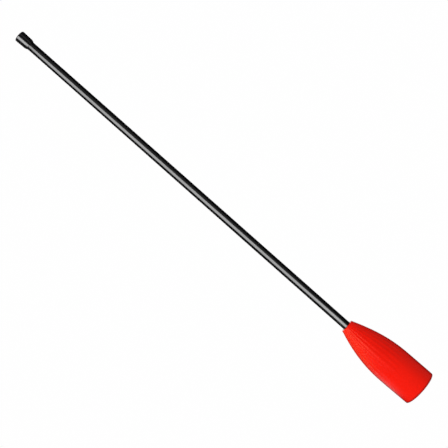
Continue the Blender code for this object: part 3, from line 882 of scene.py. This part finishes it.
# ==================================================================================================
# Hub bolt, washers and screws
# ==================================================================================================
def make_bolt():
    """M8 bolt, head down: a hex with a chamfered, dished face and a washer face."""
    bottom, tip = node_heights("hub_bolt")
    seat = bottom + 5.3
    shank_r = 4.0
    thread_z = 205.0
    taper_z = tip - 1.4
    profile = fillet(
        [
            (0.0, bottom + 1.5),
            (shank_r, bottom + 1.5),
            (shank_r, seat - 0.55),
            (6.4, seat - 0.55),
            (6.4, seat, 0.12, 2),
            (shank_r, seat, 0.25, 3),
            (shank_r, 204.4),
        ],
        closed=False,
    )
    profile += [(shank_r, z) for z in span(thread_z, taper_z, BOLT_PITCH / 10)]
    profile += [(shank_r - (z - taper_z), z) for z in span(taper_z, tip, 0.12)[1:]]
    profile += [(0.0, tip)]
    thread = outside_thread(shank_r, 0.62, BOLT_PITCH, thread_z, tip)
    bolt = revolve("hub_bolt_skin", profile, 60, thread, sharp=42.0)
    corners = [math.radians(30 + 60 * i) for i in range(6)]
    hexagon = fillet([(7.5 * math.cos(a), 7.5 * math.sin(a), 0.35, 3) for a in corners])
    head = prism(
        "bolt_head", hexagon, seat - 0.4 - (bottom - 0.6), place(0.0, 0.0, bottom - 0.6)
    )
    # trims the hex to its chamfer and its dish
    cone = revolve(
        "bolt_cone",
        [
            (0.0, bottom + 0.18),
            (4.7, bottom + 0.18),
            (5.0, bottom),
            (6.70, bottom),
            (8.6, bottom + 1.2),
            (8.6, seat + 1.0),
            (0.0, seat + 1.0),
        ],
        96,
    )
    combine(head, [cone], "INTERSECT")
    combine(bolt, [head], "UNION", 42.0)
    stand_in(bolt, "hub_bolt", "blade", "stainless")


def make_fender_washer():
    """Stamped, so rolled over on its upper side."""
    bottom, top = node_heights("fender_washer")
    profile = fillet(
        [
            (4.4, bottom, 0.12, 2),
            (12.0, bottom, 0.14, 2),
            (12.0, top, 0.55, 6),
            (4.4, top, 0.35, 4),
        ]
    )
    washer = revolve("fender_washer_skin", profile, 128)
    stand_in(washer, "fender_washer", "blade", "stainless")


def make_spring_washer():
    """A split turn of square-edged wire, rising from one end to the other."""
    bottom, top = node_heights("spring_washer")
    inner, outer, thick = 4.3, 7.2, 1.7
    wire = fillet(
        [
            (inner, 0.0, 0.22, 3),
            (outer, 0.0, 0.22, 3),
            (outer, thick, 0.22, 3),
            (inner, thick, 0.22, 3),
        ]
    )
    steps = 112
    start = math.radians(9)  # half the split
    rings = []
    for i in range(steps + 1):
        angle = start + (TAU - 2 * start) * i / steps
        rise = (top - bottom - thick) * i / steps
        rings.append(
            [
                (radius * math.cos(angle), radius * math.sin(angle), bottom + z + rise)
                for radius, z in wire
            ]
        )
    washer = loft("spring_washer_skin", rings, sharp=30.0)
    stand_in(washer, "spring_washer", "blade", "stainless")


def cross_outline(length, half):
    """A cross of four arms, each this long and twice half wide."""
    arm = [(length, -half), (length, half), (half, half)]
    out = []
    for cosine, sine in ((1, 0), (0, 1), (-1, 0), (0, -1)):
        out += [(x * cosine - y * sine, x * sine + y * cosine) for x, y in arm]
    return out


def make_screws():
    """Pan-head tapping screws, up through the flange into the bosses."""
    seat = FLANGE_Z0 - GAP
    head_r, core_r, thread_r = 4.0, 1.4, 1.9
    taper_z = seat + 14.0
    power = 2 / 2.6  # squareness of the head's curve
    profile = []
    for i in range(15):
        angle = math.radians(90.0 * i / 14)
        profile.append(
            (
                head_r * math.sin(angle) ** power,
                seat - 0.35 - 2.35 * math.cos(angle) ** power,
            )
        )
    profile += fillet(
        [
            (head_r, seat - 0.3),  # only aims the first arc
            (3.9, seat, 0.15, 2),
            (core_r, seat, 0.3, 3),
            (core_r, 193.6),
        ],
        closed=False,
    )[1:]
    profile += [(thread_r, z) for z in span(193.7, taper_z, 0.14)]
    profile += [
        (thread_r - 1.3 * (z - seat - 14.0) / 3.0, z)
        for z in span(taper_z, seat + 17.0, 0.14)[1:]
    ]
    profile += [(0.0, seat + 17.2)]
    thread = outside_thread(
        thread_r, 0.5, 1.4, 193.65, seat + 17.1, crest=0.06, flank=0.34, tapping=True
    )
    recess_rings = [
        level(seat - 3.2, cross_outline(2.35, 0.60)),
        level(seat - 1.35, cross_outline(1.15, 0.40)),
        level(seat - 0.95, cross_outline(0.55, 0.22)),
    ]
    stops = (17.0, 52.0, 75.0)  # the angle at which each screw was stopped
    for i, (angle, stop) in enumerate(zip(BOSS_ANGLES, stops)):
        node = "hub_screw_%d" % (i + 1)
        screw = revolve(node + "_skin", profile, 48, thread, sharp=42.0)
        combine(screw, [loft("recess", recess_rings)], "DIFFERENCE", 38.0)
        screw.data.transform(place(angle, BOSS_AXIS, 0) @ turn_z(stop))
        stand_in(screw, node, "blade", "stainless")


# ==================================================================================================
# Pieces inside the tube
# ==================================================================================================
def plug_side(z0, z1):
    return [(PLUG_R, z) for z in span(z0, z1, 1.0)]


def plug_groove(z):
    """A ring's groove in a plug's side."""
    floor_r, half = PLUG_R - 1.9, 1.5
    return [
        (PLUG_R, z - half, 0.25, 3),
        (floor_r, z - half, 0.2, 2),
        (floor_r, z + half, 0.2, 2),
        (PLUG_R, z + half, 0.25, 3),
    ]


def gate_mark(top):
    """The shallow dimple in a plug's upper face."""
    return [(2.6, top, 0.3, 3), (2.0, top - 0.6, 0.3, 3), (0.0, top - 0.6)]


def crush_ribs(z0, z1):
    """Six slim ribs on a plug's side, fading out towards z0 and z1."""

    def shift(radius, z, angle):
        if abs(radius - PLUG_R) > 0.01:
            return radius
        rib = math.cos(6.0 * angle) ** 32  # even power: twelve crests
        return radius + 0.18 * rib * smooth01((z - z0) / 2.0) * smooth01((z1 - z) / 2.0)

    return shift


crush_ribs.__doc__ = "Twelve slim ribs on a plug's side, fading out towards z0 and z1."


def make_anchor_plug():
    """Moulded, with crush ribs, a ring groove, a gate mark and the pin's cross hole."""
    bottom = TUBE_Z0 + GAP
    step_z = TUBE_Z0 + 23.0
    profile = fillet(
        [(5.9, bottom, 0.4, 3), (PLUG_R, bottom, 1.0, 5)]
        + plug_side(bottom + 3.0, ANCHOR_RING_Z - 3.0)
        + plug_groove(ANCHOR_RING_Z)
        + [(PLUG_R, ANCHOR_TOP, 1.6, 6)]
        + gate_mark(ANCHOR_TOP)
        + [
            (0.0, 247.0),
            (4.45, 247.0, 0.6, 4),
            (4.45, step_z, 0.2, 2),
            (5.9, step_z, 0.3, 2),
        ]
    )
    plug = revolve("anchor_plug_skin", profile, 144, crush_ribs(bottom + 4.0, 251.0))
    cut_pin_hole(plug, "anchor_hole", 40)
    stand_in(plug, "anchor_plug", "shaft", "plug_white")


def make_insert():
    """Brass insert: diamond knurl on two bands, a waist between them, thread inside."""
    bottom, top = node_heights("threaded_insert")
    knurl_r, waist_r, end_r, bore_r = 5.6, 5.2, 5.25, 4.3
    bands = ((bottom + 0.5, 215.0), (218.1, top - 0.5))

    def knurl(radius, z, angle):
        for z0, z1 in bands:
            if z0 <= z <= z1:
                slant = (z - z0) / 5.2 * 2.0
                around = 20.0 * angle / TAU
                groove = min(zigzag(around + slant), zigzag(around - slant))
                fade = smooth01((z - z0) / 0.5) * smooth01((z1 - z) / 0.5)
                return radius - 0.30 * fade * (1.0 - groove**0.8)
        return radius

    def shift(radius, z, angle):
        if radius > 5.5:
            return knurl(radius, z, angle)
        if radius < 4.35:
            form = ridge(z / BOLT_PITCH - angle / TAU + 0.5, 0.125, 0.625)
            fade = smooth01((z - bottom - 0.5) / BOLT_PITCH)
            fade *= smooth01((top - 0.5 - z) / BOLT_PITCH)
            return radius + 0.36 * (1.0 - form) * fade
        return radius

    profile = (
        [(4.85, bottom), (end_r, bottom)]
        + [(knurl_r, z) for z in span(bottom + 0.4, 215.1, 0.26)]
        + [(waist_r, 215.7), (waist_r, 217.4)]
        + [(knurl_r, z) for z in span(218.0, top - 0.4, 0.26)]
        + [(end_r, top), (4.85, top)]
        + [(bore_r, z) for z in span(top - 0.5, bottom + 0.5, BOLT_PITCH / 8)]
    )
    insert = revolve("threaded_insert_skin", profile, 120, shift, sharp=48.0)
    stand_in(insert, "threaded_insert", "shaft", "brass")


def make_pin():
    """Slotted spring pin with chamfered ends, along X."""
    length = 2.0 * (TUBE_R - GAP)
    slot = math.radians(24)  # half the slot
    steps = 48
    angles = [slot + (TAU - 2 * slot) * i / steps for i in range(steps + 1)]

    def rolled(outer, inner):
        return [(outer * math.cos(a), outer * math.sin(a)) for a in angles] + [
            (inner * math.cos(a), inner * math.sin(a)) for a in reversed(angles)
        ]

    # place along the pin, outer radius, inner radius
    stations = [
        (0.0, 2.10, 1.75),
        (0.15, 2.22, 1.70),
        (0.90, 2.50, 1.70),
        (length / 2, 2.50, 1.70),
        (length - 0.90, 2.50, 1.70),
        (length - 0.15, 2.22, 1.70),
        (length, 2.10, 1.75),
    ]
    pin = loft(
        "anchor_pin_skin",
        [level(z, rolled(outer, inner)) for z, outer, inner in stations],
        quad_ends=True,
        matrix=across(length),
    )
    stand_in(pin, "anchor_pin", "shaft", "stainless")


def make_handle_plug():
    """A stem with crush ribs and a ring groove, and a rounded head on the tube's end."""
    bottom = TUBE_Z1 - 28.0
    head_r, head_top = TUBE_R - 0.2, TUBE_Z1 + 3.0
    profile = fillet(
        [(0.0, bottom), (PLUG_R, bottom, 1.6, 6)]
        + plug_side(TUBE_Z1 - 24.5, HANDLE_RING_Z - 3.0)
        + plug_groove(HANDLE_RING_Z)
        + plug_side(HANDLE_RING_Z + 3.0, TUBE_Z1 - 2.0)
        + [
            (PLUG_R, TUBE_Z1 + GAP),
            (head_r, TUBE_Z1 + GAP, 0.25, 3),
            (head_r, head_top, 0.9, 6),
        ]
        + gate_mark(head_top),
        closed=False,
    )
    ribs = crush_ribs(HANDLE_RING_Z + 3.0, TUBE_Z1 - 2.0)
    plug = revolve("handle_plug_skin", profile, 144, ribs)
    stand_in(plug, "handle_plug", "shaft", "plug_white")


def make_foam_plug(node, phase):
    """Cut from rod, so its side is a little uneven. phase sets the unevenness apart."""

    def uneven(radius, z, angle):
        wave = (
            0.40 * math.sin(3 * angle + 0.11 * z + phase)
            + 0.30 * math.sin(7 * angle - 0.23 * z + 2.1 * phase)
            + 0.30 * math.sin(2 * angle + 0.47 * z + 0.7 * phase)
        )
        return radius * (1.0 - 0.011 * (1.0 + wave))

    bottom, top = node_heights(node)
    face_radii = (0.0, 4.0, 8.0, 11.0)
    outline = (
        [(radius, bottom) for radius in face_radii]
        + [(PLUG_R, bottom, 0.95, 6)]
        + plug_side(bottom + 2.0, top - 2.0)[::2]
        + [(PLUG_R, top, 0.95, 6)]
        + [(radius, top) for radius in reversed(face_radii)]
    )
    plug = revolve(node + "_skin", fillet(outline, closed=False), 96, uneven)
    stand_in(plug, node, "shaft", "foam_grey")


# ==================================================================================================
# Build the oar
# ==================================================================================================
make_blade()
tube = make_tube()
cap = make_cap()
make_hub()
make_ring("neck_oring", "blade", 16.8, 1.45, (NECK_GROOVE_Z0 + NECK_GROOVE_Z1) / 2)
make_ring("anchor_oring", "shaft", PLUG_R - 0.75, 0.85, ANCHOR_RING_Z)
make_ring("handle_plug_oring", "shaft", PLUG_R - 0.75, 0.85, HANDLE_RING_Z)
make_bolt()
make_fender_washer()
make_spring_washer()
make_screws()
make_anchor_plug()
make_insert()
make_pin()
make_handle_plug()
make_foam_plug("lower_foam_plug", phase=0.4)
make_foam_plug("upper_foam_plug", phase=2.7)

# ==================================================================================================
# Stage: pale floor and surroundings, in metres
# ==================================================================================================
AMBIENT = 0.62  # light on diffuse surfaces
GLOSS_AMBIENT = 0.006  # light in reflections
WHITE = 0.995  # what the camera sees
FLOOR_HALF, FLOOR_Z = 40.0, -0.0006

# Wedges of the floor that shine in reflections, as if a light panel were mirrored in them:
# azimuth, half angle and edge softness in degrees, near and far distance, strength
MIRRORS = [
    (-29, 26, 8, 0.6, 1.2, 1.6),
    (180, 15, 6, 0.4, 3.0, 1.8),
    (-104, 34, 12, 0.1, 1.0, 1.6),
]


def floor_material():
    mat = bpy.data.materials.new("pale_floor")
    mat.use_nodes = True
    mat.node_tree.nodes.clear()
    nodes = Nodes(mat.node_tree)

    def calc(operation, a, b=0.0, c=0.0):
        return nodes.math(operation, a, b, c)

    def step(value, source, to=(0.0, 1.0)):
        return nodes.range(value, source, to, smooth=True)

    path = nodes.node("ShaderNodeLightPath").outputs
    geometry = nodes.node("ShaderNodeNewGeometry").outputs
    position = nodes.node("ShaderNodeSeparateXYZ")
    nodes.put(position.inputs[0], geometry["Position"])
    x, y = position.outputs[0], position.outputs[1]
    reach = calc("SQRT", calc("ADD", calc("MULTIPLY", x, x), calc("MULTIPLY", y, y)))

    def sector(azimuth, half, soft, near, far):
        angle = math.radians(azimuth)
        along = calc(
            "ADD",
            calc("MULTIPLY", x, math.sin(angle)),
            calc("MULTIPLY", y, -math.cos(angle)),
        )
        cosine = calc("DIVIDE", along, calc("MAXIMUM", reach, 0.001))
        limits = (math.cos(math.radians(half + soft)), math.cos(math.radians(half - soft)))
        wedge = step(cosine, source=limits)
        window = calc(
            "MULTIPLY",
            step(reach, source=(near, near + 0.3)),
            step(reach, source=(far, far + 0.7), to=(1.0, 0.0)),
        )
        return calc("MULTIPLY", wedge, window)

    mirror = None
    for *shape, strength in MIRRORS:
        part = calc("MULTIPLY", sector(*shape), strength)
        mirror = part if mirror is None else calc("ADD", mirror, part)
    gloss = calc("MULTIPLY", path["Is Glossy Ray"], calc("ADD", mirror, GLOSS_AMBIENT))
    unseen = calc("MULTIPLY_ADD", path["Is Diffuse Ray"], AMBIENT * 0.9, gloss)

    # seen by the camera: even white, with a soft contact shade that only shows from above
    occlusion = nodes.node("ShaderNodeAmbientOcclusion", samples=8)
    occlusion.inputs["Distance"].default_value = 0.22
    facing = nodes.node("ShaderNodeVectorMath", operation="DOT_PRODUCT")
    nodes.put(facing.inputs[0], geometry["Incoming"])
    facing.inputs[1].default_value = (0, 0, 1)
    steep = step(facing.outputs["Value"], source=(0.25, 0.40), to=(0.0, 0.42))
    dark = calc("MULTIPLY", calc("SUBTRACT", 1.0, occlusion.outputs["AO"]), steep)
    seen = calc("MULTIPLY", path["Is Camera Ray"], calc("SUBTRACT", WHITE, dark))
    emission = nodes.node("ShaderNodeEmission")
    nodes.put(emission.inputs["Strength"], calc("ADD", seen, unseen))

    # from underneath it lets everything through
    clear = nodes.node("ShaderNodeBsdfTransparent")
    pick = nodes.node("ShaderNodeMixShader")
    nodes.put(pick.inputs[0], geometry["Backfacing"])
    nodes.put(pick.inputs[1], emission.outputs[0])
    nodes.put(pick.inputs[2], clear.outputs[0])
    output = nodes.node("ShaderNodeOutputMaterial")
    nodes.put(output.inputs["Surface"], pick.outputs[0])
    mat.cycles.emission_sampling = "NONE"
    return mat


def make_floor():
    mesh = bpy.data.meshes.new("floor")
    corners = [(-1, -1), (1, -1), (1, 1), (-1, 1)]
    mesh.from_pydata(
        [(x * FLOOR_HALF, y * FLOOR_HALF, FLOOR_Z) for x, y in corners], [], [(0, 1, 2, 3)]
    )
    floor = add_object("floor", mesh)
    mesh.materials.append(floor_material())


def make_world():
    """Even white to the camera, with its own strength for each kind of ray."""
    world = bpy.data.worlds.new("studio")
    scene.world = world
    world.use_nodes = True
    world.node_tree.nodes.clear()
    nodes = Nodes(world.node_tree)
    output = nodes.node("ShaderNodeOutputWorld")
    background = nodes.node("ShaderNodeBackground")
    background.inputs["Color"].default_value = (1, 1, 1, 1)
    path = nodes.node("ShaderNodeLightPath").outputs
    strength = nodes.math("MULTIPLY", path["Is Diffuse Ray"], AMBIENT)
    strength = nodes.math("MULTIPLY_ADD", path["Is Glossy Ray"], GLOSS_AMBIENT, strength)
    strength = nodes.math("MULTIPLY_ADD", path["Is Camera Ray"], WHITE, strength)
    nodes.put(background.inputs["Strength"], strength)
    nodes.put(output.inputs["Surface"], background.outputs[0])
    world.cycles.sampling_method = "NONE"


make_floor()
make_world()

# ==================================================================================================
# Lights: a broad key on the -X side whose reflections in the blade come from two warmer panels, a
# key and weak kickers for the tube and for the cap, and a panel on the +Y side
# ==================================================================================================
# name, azimuth and elevation in degrees, distance, width, height, radiance, height aimed at.
# Azimuth 0 is on the camera's side (-Y), and grows towards +X.
PANELS = [
    ("key", -37, 20, 2.6, 2.0, 3.6, 2.82, 0.90),
    ("sheen", -44, 33, 2.4, 1.9, 1.8, 3.8, 0.3),
    ("glow", -104, 16, 2.4, 2.4, 2.2, 1.45, 0.3),
    ("key_tube", -29, 0, 1.5, 1.72, 2.6, 2.34, 1.22),
    ("key_cap", -36, 6, 2.6, 2.0, 4.2, 2.75, 0.90),
    ("kick", 44, 4, 2.6, 0.8, 4.2, 0.072, 0.90),
    ("kick_near", 20, 4, 2.6, 1.1, 4.2, 0.09, 0.90),
    ("kick_low", -5, 0, 1.45, 1.3, 0.26, 0.9, 0.10),
    ("kick_cap", 44, 4, 2.6, 0.7, 4.2, 0.12, 0.90),
    ("back", 180, 18, 2.8, 1.3, 3.6, 2.6, 0.90),
]
WARM = (1.0, 0.95, 0.45)
KEY_TUBE_ROLL = 10  # degrees


def softbox(name, azimuth, elevation, distance, width, height, radiance, aim_z):
    turn, lift = math.radians(azimuth), math.radians(elevation)
    outward = Vector(
        (math.sin(turn) * math.cos(lift), -math.cos(turn) * math.cos(lift), math.sin(lift))
    )
    data = bpy.data.lights.new(name, "AREA")
    data.shape = "RECTANGLE"
    data.size, data.size_y = width, height
    data.energy = radiance * math.pi * width * height
    ob = add_object(name, data)
    ob.location = Vector((0.0, 0.0, aim_z)) + outward * distance
    ob.rotation_mode = "QUATERNION"
    ob.rotation_quaternion = outward.to_track_quat("Z", "Y")
    ob.visible_camera = False
    return ob


def limit(names, receivers, group_name):
    """Lets the named lights fall on the receivers only."""
    group = bpy.data.collections.new(group_name)
    for ob in receivers:
        group.objects.link(ob)
    for name in names:
        lights[name].light_linking.receiver_collection = group


lights = {row[0]: softbox(*row) for row in PANELS}
lights["key"].visible_glossy = False
for name in ("sheen", "glow"):
    lights[name].visible_diffuse = False
    lights[name].data.color = WARM
# rolled a little, so that its reflection drifts across the tube from end to end
key_tube = lights["key_tube"]
key_tube.rotation_quaternion = key_tube.rotation_quaternion @ Quaternion(
    (0, 0, 1), math.radians(KEY_TUBE_ROLL)
)

others = [ob for ob in scene.objects if ob.type == "MESH" and ob not in (tube, cap)]
limit(["key", "sheen", "glow"], others, "lit_by_key")
limit(["key_tube"], [tube], "tube_only")
limit(["key_cap"], [cap], "cap_only")
limit(["kick", "kick_near", "kick_low"], [tube], "tube_kick")
limit(["kick_cap"], [cap], "cap_kick")

# ==================================================================================================
# Camera: square on to the oar from -Y, rolled so that the cap is upper left, the bell lower right
# ==================================================================================================
CAMERA_PLACE = (-0.017, -3.507, 0.8502)
DOWN = (0.7487, 0.6629)  # where -Z points in the image: right, down

camera_data = bpy.data.cameras.new("camera")
camera_data.lens = 84.56
camera_data.sensor_width = 36.0
camera_data.clip_start = 0.05
camera_data.clip_end = 200.0
camera = add_object("camera", camera_data)
image_right = Vector((DOWN[1], 0.0, -DOWN[0]))
image_up = Vector((DOWN[0], 0.0, DOWN[1]))
towards_viewer = Vector((0.0, -1.0, 0.0))
rotation = Matrix((image_right, image_up, towards_viewer)).transposed()
camera.matrix_world = Matrix.Translation(CAMERA_PLACE) @ rotation.to_4x4()
scene.camera = camera

scene.view_settings.view_transform = "Standard"
scene.view_settings.look = "None"
